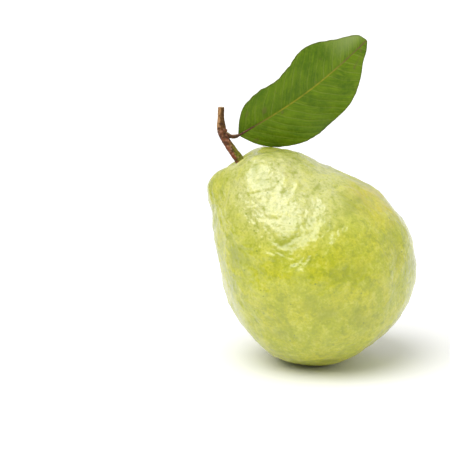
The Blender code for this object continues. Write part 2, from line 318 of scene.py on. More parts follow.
LEAF_RIB_BROWN = (0.16, 0.11, 0.035)
LEAF_UNDER = (0.16, 0.22, 0.06)
LEAF_UNDER_PALE = (0.23, 0.29, 0.10)
LEAF_UNDER_VEIN = (0.33, 0.34, 0.12)
PETIOLE_DARK = (0.05, 0.018, 0.010)
PETIOLE_BROWN = (0.17, 0.055, 0.02)
PETIOLE_TAN = (0.30, 0.17, 0.09)
PETIOLE_OLIVE = (0.36, 0.35, 0.13)
CALYX_DARK = (0.055, 0.032, 0.018)
CALYX_BROWN = (0.17, 0.095, 0.045)
CALYX_TAN = (0.33, 0.23, 0.12)
FLOOR_COLOUR = (0.96, 0.96, 0.96, 1.0)

# Studio: a wide soft key light, its place (it shines towards the origin), how wide it looks from
# the fruit and its strength. The walls go from dim, on the photographer's side, to bright behind
# the fruit: how far a direction points to the bright side, from and to, then how bright.
FLOOR_HALF = 4.0
KEY_PLACE = (-0.85, -0.85, 1.9)
KEY_WIDTH = math.radians(58)
KEY_STRENGTH = 2.85
WORLD_RAMP = (-0.65, 0.3, 0.22, 0.8)
WORLD_BRIGHT_SIDE = (0.8, 0.6, 0.0)
# Camera: a long lens, how high it looks down from, how far away, and where it aims, from the
# middle of the CAD model's box.
CAMERA_LENS = 142.857
CAMERA_ELEVATION = math.radians(12)
CAMERA_DISTANCE = 0.75
CAMERA_AIM = Vector((-0.0364, 0.0042, -0.0104))


def spline_point(points, share):
    """The point a share of the way along a smooth curve through evenly weighted points."""
    place = min(max(share, 0.0), 1.0) * (len(points) - 1)
    index = min(int(place), len(points) - 2)
    local = place - index
    before = points[index - 1] if index else 2 * points[0] - points[1]
    start, end = points[index], points[index + 1]
    after = points[index + 2] if index + 2 < len(points) else 2 * points[-1] - points[-2]
    bend = 2 * before - 5 * start + 4 * end - after
    twist = 3 * (start - end) + after - before
    return start + 0.5 * local * ((end - before) + local * (bend + local * twist))


def mesh_object(name, points, faces, material):
    """A smooth-shaded object from points and faces."""
    mesh = bpy.data.meshes.new(name)
    mesh.from_pydata([tuple(point) for point in points], [], faces)
    mesh.validate()
    mesh.shade_smooth()
    mesh.materials.append(material)
    thing = bpy.data.objects.new(name, mesh)
    bpy.context.scene.collection.objects.link(thing)
    return thing


def add_attribute(thing, name, values):
    """Stores one number per point, for the material to read."""
    layer = thing.data.attributes.new(name, "FLOAT", "POINT")
    layer.data.foreach_set("value", np.asarray(values, np.float32))


def noise_vector(point):
    """Three separate noise values. Blender's own noise_vector gives others on every run."""
    return Vector([noise.noise(point + Vector(shift)) for shift in NOISE_SHIFTS])


def smooth_step(value, low, high):
    """0 up to the low value, 1 from the high value on, and a smooth step between them."""
    share = np.clip((value - low) / (high - low), 0.0, 1.0)
    return share * share * (3.0 - 2.0 * share)


# ---------------------------------------------------------------- the fruit


def ball_grid(cells):
    """Directions and square faces of a cube whose faces are blown up evenly into a ball."""
    shape = bmesh.new()
    bmesh.ops.create_cube(shape, size=2.0)
    bmesh.ops.subdivide_edges(shape, edges=shape.edges, cuts=cells - 1, use_grid_fill=True)
    directions = np.array([vertex.co[:] for vertex in shape.verts])
    faces = [[vertex.index for vertex in face.verts] for face in shape.faces]
    edges = np.array([[vertex.index for vertex in edge.verts] for edge in shape.edges])
    shape.free()
    directions = np.tan(directions * math.pi / 4)
    directions /= np.linalg.norm(directions, axis=1, keepdims=True)
    return directions, faces, edges


def neighbour_mean(values, edges):
    """The mean of each point's neighbours."""
    count = len(values)
    total = np.bincount(edges[:, 0], values[edges[:, 1]], count)
    total += np.bincount(edges[:, 1], values[edges[:, 0]], count)
    met = np.bincount(edges.ravel(), minlength=count)
    return total / met


def cad_tree(node):
    """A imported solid's surface, for casting rays at it and finding its nearest point."""
    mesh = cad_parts[node].data
    points = [vertex.co for vertex in mesh.vertices]
    return BVHTree.FromPolygons(points, [tuple(face.vertices) for face in mesh.polygons])


def fruit_centre():
    """A point inside the fruit that sees all of its skin."""
    low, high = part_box("fruit")
    return (low + high) / 2 + Vector((0, 0, FRUIT_CENTRE_RISE))


def calyx_seat():
    """The middle of the calyx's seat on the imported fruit."""
    low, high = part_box("calyx")
    return cad_tree("fruit").find_nearest((low + high) / 2)[0]


def filled(radii, holes, edges):
    """The distances with those inside the holes drawn smoothly across from their rims."""
    inside = np.flatnonzero(holes)
    for _ in range(SOCKET_FILL_ROUNDS):
        radii[inside] = neighbour_mean(radii, edges)[inside]
    return radii


def skin_base():
    """The fine, smooth skin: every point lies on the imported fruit, seen from its centre."""
    directions, faces, edges = ball_grid(SKIN_CELLS)
    centre = fruit_centre()
    tree = cad_tree("fruit")
    hits = [tree.ray_cast(centre, Vector(direction))[0] for direction in directions]
    hits = np.array([hit[:] for hit in hits])
    radii = np.linalg.norm(hits - np.array(centre), axis=1)
    twig = [np.array(point[:3]) * MM for point in TWIG_PATH_MM[:3]]
    along = twig[2] - twig[0]
    along /= np.linalg.norm(along)
    offset = hits - twig[0]
    offset -= (offset @ along)[:, None] * along
    above = hits[:, 2] > twig[0][2] - SOCKET_MARGIN
    holes = (np.linalg.norm(offset, axis=1) < SOCKET_REACH) & above
    holes |= np.linalg.norm(hits - np.array(calyx_seat()), axis=1) < CALYX_SEAT_REACH
    radii = filled(radii, holes, edges)
    for _ in range(SKIN_SMOOTHING):
        radii = (radii + neighbour_mean(radii, edges)) / 2
    return np.array(centre) + directions * radii[:, None], faces


def skin_relief(point, neck):
    """Height of the skin's relief at a point. The neck is more wrinkled than the belly."""
    warp = noise_vector(point / WARP_SIZE) * WARP_STRENGTH
    swell = noise.noise(point / SWELL_SIZE)
    dent = noise.noise(point / DENT_SIZE + warp)
    wrinkle = abs(noise.noise(point / WRINKLE_SIZE + warp * WRINKLE_WARP)) * 2.0 - 0.5
    pebble = 0.5 - noise.voronoi(point / PEBBLE_SIZE)[0][0]
    height = SWELL_HEIGHT * swell
    height += DENT_HEIGHT * dent * (BELLY_DENTS + (1 - BELLY_DENTS) * neck)
    fine = BELLY_WRINKLES + (1 - BELLY_WRINKLES) * neck
    return height + WRINKLE_HEIGHT * wrinkle * fine + PEBBLE_HEIGHT * pebble * fine


def build_skin():
    points, faces = skin_base()
    skin = mesh_object("guava_skin", points, faces, skin_material())
    normals = np.zeros(len(points) * 3)
    skin.data.vertex_normals.foreach_get("vector", normals)
    normals = normals.reshape(-1, 3)
    stem = np.array(TWIG_PATH_MM[1][:3]) * MM
    from_stem = np.linalg.norm(points - stem, axis=1)
    neck = 1.0 - smooth_step(from_stem, NECK_FROM, NECK_TO)
    relief = np.array([skin_relief(Vector(p), n) for p, n in zip(points, neck)])
    relief *= smooth_step(points[:, 2], 0.0, REST_FADE)
    points = points + normals * relief[:, None]
    from_shoulder = np.linalg.norm(points - np.array(SHOULDER_PLACE), axis=1)
    points += (1.0 - smooth_step(from_shoulder, 0.0, SHOULDER_REACH))[:, None] * SHOULDER_RISE
    points[:, 2] = np.maximum(points[:, 2], 0.0)
    skin.data.vertices.foreach_set("co", points.ravel())
    skin.data.update()
    add_attribute(skin, "relief", relief / (SWELL_HEIGHT + DENT_HEIGHT))
    add_attribute(skin, "from_stem", from_stem)
    add_attribute(skin, "from_calyx", np.linalg.norm(points - np.array(calyx_seat()), axis=1))
    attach(skin, "root")
    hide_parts("fruit")


# ---------------------------------------------------------------- the twig


def tube_frame(centres, share):
    """The middle, the way along, and two ways across a tube at a share of its length."""
    middle = spline_point(centres, share)
    step = 0.5 / TWIG_RINGS
    ahead = spline_point(centres, min(share + step, 1.0))
    behind = spline_point(centres, max(share - step, 0.0))
    along = (ahead.xyz - behind.xyz).normalized()
    left = along.cross(Vector((0, 1, 0))).normalized()
    return middle, along, -left, along.cross(left).normalized()


def twig_bulge(share, turn):
    """How much wider than round the twig is: ridges, the node's collar and scar, fissures."""
    ridges = 0.075 * math.cos(3 * turn + 0.8) + 0.05 * math.cos(2 * turn + 2.0 * share)
    node = math.exp(-(((share - NODE_SHARE) / NODE_LENGTH) ** 2))
    collar = 0.10 * node * (1 + math.cos(turn))
    scar = -0.05 * math.exp(-(((share - NODE_SHARE - NODE_SCAR) / NODE_SCAR_LENGTH) ** 2))
    along = share * 30
    strand = Vector((math.cos(turn) * 4.5, math.sin(turn) * 4.5, along * 0.45))
    knots = Vector((math.cos(turn) * 1.6, math.sin(turn) * 1.6, along))
    fissure = 0.055 * noise.noise(strand) - 0.05 * max(noise.noise(strand * 2.1), 0.0)
    return ridges + collar + scar + fissure + 0.05 * noise.noise(knots)


def build_twig():
    centres = [Vector((x * MM, y * MM, z * MM, radius * MM)) for x, y, z, radius in TWIG_PATH_MM]
    points, shares, lefts, cuts = [], [], [], []
    rows = [(ring / (TWIG_RINGS - 1), 1.0, 0.0) for ring in range(TWIG_RINGS)]
    rows += [(1.0, size, depth) for size, depth in CUT_END_ROWS]
    for row, (share, size, depth) in enumerate(rows):
        middle, along, right, front = tube_frame(centres, share)
        for side in range(TWIG_SIDES):
            turn = math.tau * side / TWIG_SIDES
            radius = middle.w * TWIG_FULLNESS * size * (1 + twig_bulge(share, turn))
            out = right * math.cos(turn) + front * math.sin(turn)
            rough = depth * (1 + 0.5 * noise.noise(out * 3 + Vector((0, 0, size * 6))))
            points.append(middle.xyz + out * radius + along * rough)
            shares.append(share)
            lefts.append(-out.x)
            cuts.append(0.0 if row < TWIG_RINGS else 1.0 - size * 0.5)
    faces = tube_faces(len(rows), TWIG_SIDES)
    twig = mesh_object("twig", points, faces, bark_material())
    add_attribute(twig, "along_twig", shares)
    add_attribute(twig, "left_side", lefts)
    add_attribute(twig, "cut_end", cuts)
    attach(twig, "root")
    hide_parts("stem")


def tube_faces(rings, sides):
    """Faces of a tube of rings, with a cap at either end."""
    faces = []
    for ring in range(rings - 1):
        for side in range(sides):
            after = (side + 1) % sides
            low, high = ring * sides, (ring + 1) * sides
            faces.append((low + side, low + after, high + after, high + side))
    faces.append(tuple(range(sides))[::-1])
    faces.append(tuple((rings - 1) * sides + side for side in range(sides)))
    return faces


# ---------------------------------------------------------------- the leaf


def half_width(table, share):
    """A half width of the blade from its table, smoothed between the points."""
    index = max(i for i, (at, _) in enumerate(table[:-1]) if at <= share)
    (low, start), (high, end) = table[index], table[index + 1]
    before = table[max(index - 1, 0)]
    after = table[min(index + 2, len(table) - 1)]
    leaving = (end - before[1]) / (high - before[0]) * (high - low)
    arriving = (after[1] - start) / (after[0] - low) * (high - low)
    t = (share - low) / (high - low)
    value = start * (2 * t**3 - 3 * t**2 + 1) + leaving * (t**3 - 2 * t**2 + t)
    value += end * (3 * t**2 - 2 * t**3) + arriving * (t**3 - t**2)
    return value * MM


def leaf_axes():
    """Along the blade, across it to the upper margin, and the way its upper side faces."""
    along = (LEAF_TIP - LEAF_BASE).normalized()
    across = (LEAF_ACROSS - along * LEAF_ACROSS.dot(along)).normalized()
    return along, across, along.cross(across)


def leaf_point(share, width, raised=0.0):
    """A point of the blade: a share of its length, a distance across, a height above it."""
    along, across, facing = leaf_axes()
    arch = LEAF_ARCH * math.sin(math.pi * share)
    fold = LEAF_TROUGH * abs(width) - LEAF_CURL * width * width
    side = 0.0 if width > 0 else LOWER_WAVE_START
    ripple = math.sin(math.tau * (WAVE_COUNT * share + side))
    wave = WAVE_HEIGHT * (width / WAVE_WIDTH) ** 2 * ripple
    length = (LEAF_TIP - LEAF_BASE).length
    place = LEAF_BASE + along * (share * length)
    place = place + across * (width - MIDRIB_BOW * math.sin(math.pi * share))
    return place + facing * (arch + fold + wave + raised)


def vein_phase(share, width):
    """Whole numbers lie on the side veins, which sweep forward from the midrib to the margin."""
    out = abs(width) / WAVE_WIDTH
    swept = share - VEIN_SWEEP * out - VEIN_BEND * out * out
    offset = 0.42 * float(smooth_step(width, -0.4 * MM, 0.4 * MM))
    wander = 0.18 * noise.noise(Vector((share * 9, width / (6 * MM), 0.5)))
    return VEIN_PAIRS * swept + offset + wander


def vein_nearness(phase):
    """1 on a side vein, falling to 0 a little way from it."""
    away = abs((phase + 0.5) % 1.0 - 0.5) * VEIN_SPACING
    return math.exp(-((away / VEIN_WIDTH) ** 2))


def leaf_relief(share, width, half):
    """Heights of the upper and of the under surface of the blade above its middle sheet."""
    phase = vein_phase(share, width)
    vein = vein_nearness(phase)
    inward = float(smooth_step(abs(width), 0.4 * MM, 2.5 * MM))
    inward *= float(1 - smooth_step(abs(width), half - 3 * MM, half - 0.5 * MM))
    quilt = QUILT_HEIGHT * inward * (math.sin(math.pi * phase) ** 2 - 0.5)
    crease = CREASE_HEIGHT * noise.noise(Vector((share * 60, width / CREASE_SIZE, 2.0)))
    groove = MIDRIB_GROOVE * math.exp(-((width / MIDRIB_GROOVE_WIDTH) ** 2))
    upper = quilt - VEIN_DEPTH * vein * inward - groove * (1 - 0.6 * share) + crease * inward
    rib = MIDRIB_BASE_RADIUS + (MIDRIB_TIP_RADIUS - MIDRIB_BASE_RADIUS) * share
    ridge = math.sqrt(max(rib * rib - width * width, 0.0))
    fade = float(1 - smooth_step(share, 0.9, 1.0))
    under = quilt - VEIN_RIDGE * vein * inward - ridge * fade
    return upper, under - LEAF_THICKNESS


def build_leaf():
    rows, columns = LEAF_CELLS_LONG + 1, 2 * LEAF_CELLS_HALF + 1
    upper, under, facts = [], [], []
    for row in range(rows):
        share = row / LEAF_CELLS_LONG
        for column in range(columns):
            part = column / LEAF_CELLS_HALF - 1
            table = LEAF_UPPER if part > 0 else LEAF_LOWER
            margin = Vector((share * LEAF_NICKS, 7.0 if part > 0 else 3.0, 0))
            half = half_width(table, share) * (1 + LEAF_NICK * noise.noise(margin))
            width = math.copysign(abs(part) ** 0.9, part) * half
            high, low = leaf_relief(share, width, half)
            thin = float(smooth_step(abs(part), 0.96, 1.0))
            upper.append(leaf_point(share, width, high))
            under.append(leaf_point(share, width, low + (high - low) * 0.5 * thin))
            facts.append((vein_phase(share, width), width, half - abs(width), share))
    count = rows * columns
    faces = sheet_faces(rows, columns, count)
    leaf = mesh_object("leaf_blade", upper + under, faces, leaf_material())
    for index, name in enumerate(("vein_phase", "from_rib", "from_edge", "along_leaf")):
        values = [fact[index] for fact in facts]
        add_attribute(leaf, name, values * 2)
    add_attribute(leaf, "under_side", [0.0] * count + [1.0] * count)
    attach(leaf, "root")
    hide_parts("leaf")


def sheet_faces(rows, columns, count):
    """Faces of an upper and an under grid, joined round their edges into one closed body."""
    faces = []
    for row in range(rows - 1):
        for column in range(columns - 1):
            corner = row * columns + column
            square = (corner, corner + columns, corner + columns + 1, corner + 1)
            faces.append(square)
            faces.append(tuple(count + index for index in square[::-1]))
    rim = [(0, column) for column in range(columns)]
    rim += [(row, columns - 1) for row in range(1, rows)]
    rim += [(rows - 1, column) for column in range(columns - 2, -1, -1)]
    rim += [(row, 0) for row in range(rows - 2, 0, -1)]
    loop = [row * columns + column for row, column in rim]
    for here, after in zip(loop, loop[1:] + loop[:1]):
        faces.append((here, after, count + after, count + here))
    return faces


def build_petiole():
    path = [Vector((x * MM, y * MM, z * MM, radius * MM)) for x, y, z, radius in PETIOLE_PATH_MM]
    for share in PETIOLE_INTO_BLADE:
        place = leaf_point(share, 0.0, -LEAF_THICKNESS)
        path.append(Vector((*place, MIDRIB_BASE_RADIUS * (0.9 - 4 * share))))
    points, tops = [], []
    for ring in range(PETIOLE_RINGS):
        share = ring / (PETIOLE_RINGS - 1)
        middle, _, right, front = tube_frame(path, share)
        for side in range(PETIOLE_SIDES):
            turn = math.tau * side / PETIOLE_SIDES
            out = right * math.cos(turn) + front * math.sin(turn)
            top = max(out.z, 0.0)
            rough = PETIOLE_ROUGHNESS * noise.noise(Vector((share * 14, turn * 1.3, 0.2)))
            radius = middle.w * (1 - PETIOLE_FLAT_TOP * top**4 + rough)
            points.append(middle.xyz + out * radius)
            tops.append(out.z)
    faces = tube_faces(PETIOLE_RINGS, PETIOLE_SIDES)
    petiole = mesh_object("petiole", points, faces, petiole_material())
    add_attribute(petiole, "upper_side", tops)
    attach(petiole, "root")
    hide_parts("leaf")


# ---------------------------------------------------------------- the calyx


def calyx_axes():
    """The calyx's foot at its deepest side, the way the skin faces, and two ways across it."""
    low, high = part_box("calyx")
    middle = (low + high) / 2
    facing = Vector()
    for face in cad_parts["fruit"].data.polygons:
        if CUP_RADIUS * 2 < (face.center - middle).length < CUP_RADIUS * 5:
            facing += face.normal * face.area
    facing.normalize()
    points = [vertex.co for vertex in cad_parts["calyx"].data.vertices]
    foot = min(point.dot(facing) for point in points)
    base = [point for point in points if point.dot(facing) < foot + 0.05 * MM]
    place = sum(base, Vector()) / len(base)
    right = facing.cross(Vector((0, 0, 1))).normalized()
    return place, facing, right, facing.cross(right)


def sepal_points(turn, index, place, facing, right, up):
    """The two faces of one sepal: it stands up from the cup's rim, spreads and curls over."""
    out = right * math.cos(turn) + up * math.sin(turn)
    side = facing.cross(out)
    curl = 1.15 + 0.5 * noise.noise(Vector((index * 3.7, 0.4, 0.1)))
    length = SEPAL_LENGTH * (1 + 0.22 * noise.noise(Vector((index * 5.1, 2.4, 0.6))))
    front, back = [], []
    for row in range(SEPAL_CELLS + 1):
        share = row / SEPAL_CELLS
        lean = 0.35 + curl * share
        reach = CUP_RADIUS * 0.94 + length * 0.62 * (1 - math.cos(lean)) / 1.1
        rise = 1.6 * MM + length * 0.55 * math.sin(lean)
        half = SEPAL_HALF_WIDTH * (math.sin(math.pi * (0.32 + 0.68 * share)) ** 0.8 + 0.02)
        for column in range(SEPAL_CELLS + 1):
            part = 2 * column / SEPAL_CELLS - 1
            place_in = Vector((index * 9.3 + share * 2.4, part * 1.7, 0.3))
            wave = 0.42 * MM * noise.noise(place_in) * (0.3 + share)
            cupped = 0.35 * MM * part * part * (1 - share)
            thick = SEPAL_THICKNESS * (1 - 0.75 * part * part) * (1 - 0.6 * share)
            middle = place + out * (reach - cupped) + facing * (rise + wave)
            middle += side * part * half * (1 + 0.25 * wave / MM)
            front.append(middle + (facing - out * 0.5) * thick)
            back.append(middle)
    return front + back


def cup_points(place, facing, right, up):
    """The rings of the cup, from its outer foot over its rim to its floor, a little uneven."""
    points = []
    for row, (radius, height) in enumerate(CUP_SECTION_MM):
        for side in range(CUP_SIDES):
            turn = math.tau * side / CUP_SIDES
            out = right * math.cos(turn) + up * math.sin(turn)
            rough = 1 + 0.07 * noise.noise(out * 2.2 + Vector((0, 0, row * 0.5)))
            lift = 0.16 * noise.noise(out * 3.1 + Vector((4, 0, row * 0.4)))
            points.append(place + out * radius * MM * rough + facing * (height + lift) * MM)
    return points


def stamen_points(index, place, facing, right, up):
    """Points along one thin dried stamen that bends over inside the cup."""
    key = Vector((index * 1.37, STAMEN_SEED, 0.5))
    turn = math.tau * index * GOLDEN_TURN
    start = (0.5 + 1.5 * ((index * GOLDEN_STEP) % 1.0)) * MM
    lean = noise_vector(key)
    out = right * math.cos(turn) + up * math.sin(turn)
    points = []
    for step in range(STAMEN_RINGS):
        share = step / (STAMEN_RINGS - 1)
        sideways = (right * lean.x + up * lean.y) * 1.7 * MM * share * share
        rise = (1.2 + (1.9 + lean.z) * share) * MM
        points.append(place + out * start * (1 + 0.25 * share) + sideways + facing * rise)
    return points


def joined(points, faces, more_points, more_faces):
    """Adds one more closed body to a list of points and a list of faces."""
    first = len(points)
    points.extend(more_points)
    faces.extend(tuple(first + index for index in face) for face in more_faces)


def stamen_body(path):
    """A thin tube along a stamen's points, thicker at the anther near its end."""
    points = []
    for row, middle in enumerate(path):
        ahead = path[min(row + 1, len(path) - 1)] - path[max(row - 1, 0)]
        right = ahead.cross(Vector((0.3, 1.0, 0.2))).normalized()
        front = ahead.cross(right).normalized()
        radius = STAMEN_RADIUS * (1.5 if row == len(path) - 2 else 1.0)
        for side in range(STAMEN_SIDES):
            turn = math.tau * side / STAMEN_SIDES
            points.append(middle + (right * math.cos(turn) + front * math.sin(turn)) * radius)
    return points, tube_faces(len(path), STAMEN_SIDES)


def build_calyx():
    axes = calyx_axes()
    points, faces = [], []
    joined(points, faces, cup_points(*axes), tube_faces(len(CUP_SECTION_MM), CUP_SIDES))
    rows = SEPAL_CELLS + 1
    for index in range(SEPALS):
        turn = math.tau * (index + 0.12 * noise.noise(Vector((index * 2.9, 0, 1)))) / SEPALS
        body = sepal_points(turn, index, *axes)
        joined(points, faces, body, sheet_faces(rows, rows, rows * rows))
    for index in range(STAMENS):
        joined(points, faces, *stamen_body(stamen_points(index, *axes)))
    calyx = mesh_object("calyx_crown", points, faces, calyx_material())
    place, facing = axes[0], axes[1]
    add_attribute(calyx, "up_sepal", [(point - place).dot(facing) for point in points])
    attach(calyx, "root")
    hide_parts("calyx")


# ---------------------------------------------------------------- the materials


class Recipe:
    """A material in the making. A call adds nodes and gives back the last one's main output, but
    add and cells give back the node itself.
    """

    def __init__(self, name):
        self.material = bpy.data.materials.new(name)
        self.material.use_nodes = True
        self.tree = self.material.node_tree
        self.shader = self.tree.nodes["Principled BSDF"]
        self.place = self.tree.nodes.new("ShaderNodeTexCoord").outputs["Object"]

    def fill(self, socket, value):
        """Links a socket to another, or gives it a plain value."""
        if isinstance(value, bpy.types.NodeSocket):
            self.tree.links.new(value, socket)
        else:
            socket.default_value = value

    def add(self, kind, settings, inputs):
        node = self.tree.nodes.new(kind)
        for name, value in settings.items():
            setattr(node, name, value)
        for name, value in inputs.items():
            self.fill(node.inputs[name], value)
        return node

    def set(self, **inputs):
        """Fills the shader's own sockets, named with _ in place of spaces."""
        for name, value in inputs.items():
            self.fill(self.shader.inputs[name.replace("_", " ")], value)

    def attribute(self, name):
        return self.add("ShaderNodeAttribute", {"attribute_name": name}, {}).outputs["Fac"]

    def stretched(self, x, y, z):
        """The place in space, scaled along each axis."""
        inputs = {"Vector": self.place, "Scale": (x, y, z)}
        return self.add("ShaderNodeMapping", {}, inputs).outputs["Vector"]

    def noise(self, size, detail=3.0, roughness=0.5, distortion=0.0, place=None):
        inputs = {"Vector": place or self.place, "Scale": 1 / size, "Detail": detail}
        inputs |= {"Roughness": roughness, "Distortion": distortion}
        return self.add("ShaderNodeTexNoise", {}, inputs).outputs["Fac"]

    def cells(self, size, feature="F1"):
        """Cells round scattered points, as a node with a distance and a colour for each."""
        inputs = {"Vector": self.place, "Scale": 1 / size}
        return self.add("ShaderNodeTexVoronoi", {"feature": feature}, inputs)

    def math(self, operation, first, second=0.0):
        node = self.add("ShaderNodeMath", {"operation": operation}, {0: first, 1: second})
        return node.outputs[0]

    def spread(self, value, low, high, to_low=0.0, to_high=1.0):
        """A smooth step from to_low, where the value is low, to to_high, where it is high."""
        settings = {"interpolation_type": "SMOOTHSTEP"}
        inputs = {0: value, 1: low, 2: high, 3: to_low, 4: to_high}
        return self.add("ShaderNodeMapRange", settings, inputs).outputs[0]

    def near(self, point, reach):
        """1 at a point, falling to 0 at the reach."""
        inputs = {0: self.place, 1: point}
        node = self.add("ShaderNodeVectorMath", {"operation": "DISTANCE"}, inputs)
        return self.spread(node.outputs["Value"], 0.0, reach, 1.0, 0.0)

    def mix(self, share, first, second):
        settings = {"data_type": "RGBA"}
        first = (*first, 1) if isinstance(first, tuple) else first
        second = (*second, 1) if isinstance(second, tuple) else second
        return self.add("ShaderNodeMix", settings, {0: share, 6: first, 7: second}).outputs[2]

    def bump(self, height, distance, under=None):
        inputs = {"Height": height, "Distance": distance, "Strength": 1.0}
        if under:
            inputs["Normal"] = under
        return self.add("ShaderNodeBump", {}, inputs).outputs["Normal"]


def skin_mottling(make, mottle, fine):
    """Yellow-green mottling, a painted highlight on the neck, specks, and painted shade on the
    relief.
    """
    colour = make.mix(make.spread(mottle, 0.4, 0.6), SKIN_GREEN, SKIN_YELLOW)
    # Painted highlight: a pale tint where the key light's highlight falls on the neck.
    painted_highlight = make.spread(make.near(PAINTED_HIGHLIGHT_PLACE, PAINTED_HIGHLIGHT_REACH), 0.0, 0.75, 0.0, 0.85)
    painted_highlight = make.math("MULTIPLY", painted_highlight, make.spread(mottle, 0.3, 0.6, 0.5, 1.0))
    colour = make.mix(painted_highlight, colour, SKIN_PAINTED_HIGHLIGHT)
    colour = make.mix(make.spread(fine, 0.5, 0.72, 0.0, 0.5), colour, SKIN_PALE)
    colour = make.mix(make.spread(fine, 0.3, 0.5, 0.75, 0.0), colour, SKIN_DEEP)
    speck = make.noise(SKIN_SPECK, 2.0, 0.6, 0.3)
    colour = make.mix(make.spread(speck, 0.34, 0.52, 0.42, 0.0), colour, SKIN_DEEP)
    colour = make.mix(make.spread(speck, 0.56, 0.7, 0.0, 0.3), colour, SKIN_PALE)
    # Painted light and shade: paler on the ridges of the relief, deeper green in its hollows.
    relief = make.attribute("relief")
    colour = make.mix(make.spread(relief, 0.1, 0.75, 0.0, 0.4), colour, SKIN_PALE)
    return make.mix(make.spread(relief, -0.6, 0.0, 0.8, 0.0), colour, SKIN_DEEP)


def skin_marks(make, colour):
    """The orange blush, dark dots in some of the cells, and a few worn scars."""
    blush = make.near(BLUSH_PLACE, BLUSH_REACH)
    patches = make.spread(make.noise(BLUSH_PATCH), 0.3, 0.6, 0.1, 0.75)
    colour = make.mix(make.math("MULTIPLY", blush, patches), colour, SKIN_BLUSH)
    dots = make.cells(SKIN_DOT_SPACING)
    chosen = make.spread(dots.outputs["Color"], 0.5, 0.56)
    dot = make.spread(dots.outputs["Distance"], 0.06, 0.15, 0.8, 0.0)
    colour = make.mix(make.math("MULTIPLY", dot, chosen), colour, SKIN_DOT)
    scars = make.cells(SKIN_SCAR_SPACING).outputs["Distance"]
    worn = make.math("ADD", scars, make.noise(SKIN_SCAR_EDGE, 3.0))
    return make.mix(make.spread(worn, 0.38, 0.5, 0.55, 0.0), colour, SKIN_SCAR)


def skin_rings(make, colour, fine):
    """Deeper green and then brown close to the twig and to the calyx, with uneven edges."""
    uneven = make.spread(fine, 0.2, 0.8, -MM, MM)
    stem = make.math("ADD", make.attribute("from_stem"), uneven)
    colour = make.mix(make.spread(stem, *STEM_STAIN, 0.5, 0.0), colour, SKIN_DEEP)
    colour = make.mix(make.spread(stem, *STEM_RING, 0.8, 0.0), colour, SKIN_RING)
    calyx = make.math("ADD", make.attribute("from_calyx"), uneven)
    colour = make.mix(make.spread(calyx, *CALYX_STAIN, 0.6, 0.0), colour, SKIN_DEEP)
    return make.mix(make.spread(calyx, *CALYX_RING, 0.8, 0.0), colour, SKIN_RING)


def skin_bumps(make):
    """Wrinkles, pebbles, pores and grain too fine for the mesh."""
    normal = make.bump(make.noise(FINE_WRINKLE, 2.0, 0.55, 0.2), FINE_WRINKLE_DEPTH)
    pebbles = make.cells(FINE_PEBBLE).outputs["Distance"]
    normal = make.bump(make.spread(pebbles, 0.0, 0.75, 1.0, 0.0), FINE_PEBBLE_DEPTH, normal)
    normal = make.bump(make.noise(SKIN_GRAIN, 1.0), SKIN_GRAIN_DEPTH, normal)
    pores = make.cells(SKIN_PORE).outputs["Distance"]
    normal = make.bump(make.spread(pores, 0.1, 0.6), SKIN_PORE_DEPTH, normal)
    return make.bump(make.noise(SKIN_FINE_GRAIN, 3.0), SKIN_FINE_GRAIN_DEPTH, normal)


def skin_material():
    make = Recipe("guava_skin")
    mottle = make.noise(SKIN_MOTTLE, 5.0, 0.62, 0.6)
    fine = make.noise(SKIN_FINE_MOTTLE, 4.0, 0.6, 0.3)
    colour = skin_mottling(make, mottle, fine)
    colour = skin_marks(make, colour)
    colour = skin_rings(make, colour, fine)
    normal = skin_bumps(make)
    rough = make.spread(make.noise(SKIN_GLOSS_PATCH, 3.0), 0.3, 0.7, 0.34, 0.5)
    make.set(Base_Color=colour, Roughness=rough, Normal=normal, Coat_Normal=normal)
    make.set(IOR=1.4, Specular_IOR_Level=0.25)
    make.set(Coat_Weight=1.0, Coat_Roughness=WAX_ROUGHNESS, Coat_IOR=WAX_IOR)
    make.set(Subsurface_Weight=FLESH_GLOW, Subsurface_Radius=FLESH_GLOW_COLOUR)
    make.set(Subsurface_Scale=FLESH_GLOW_REACH)
    return make.material


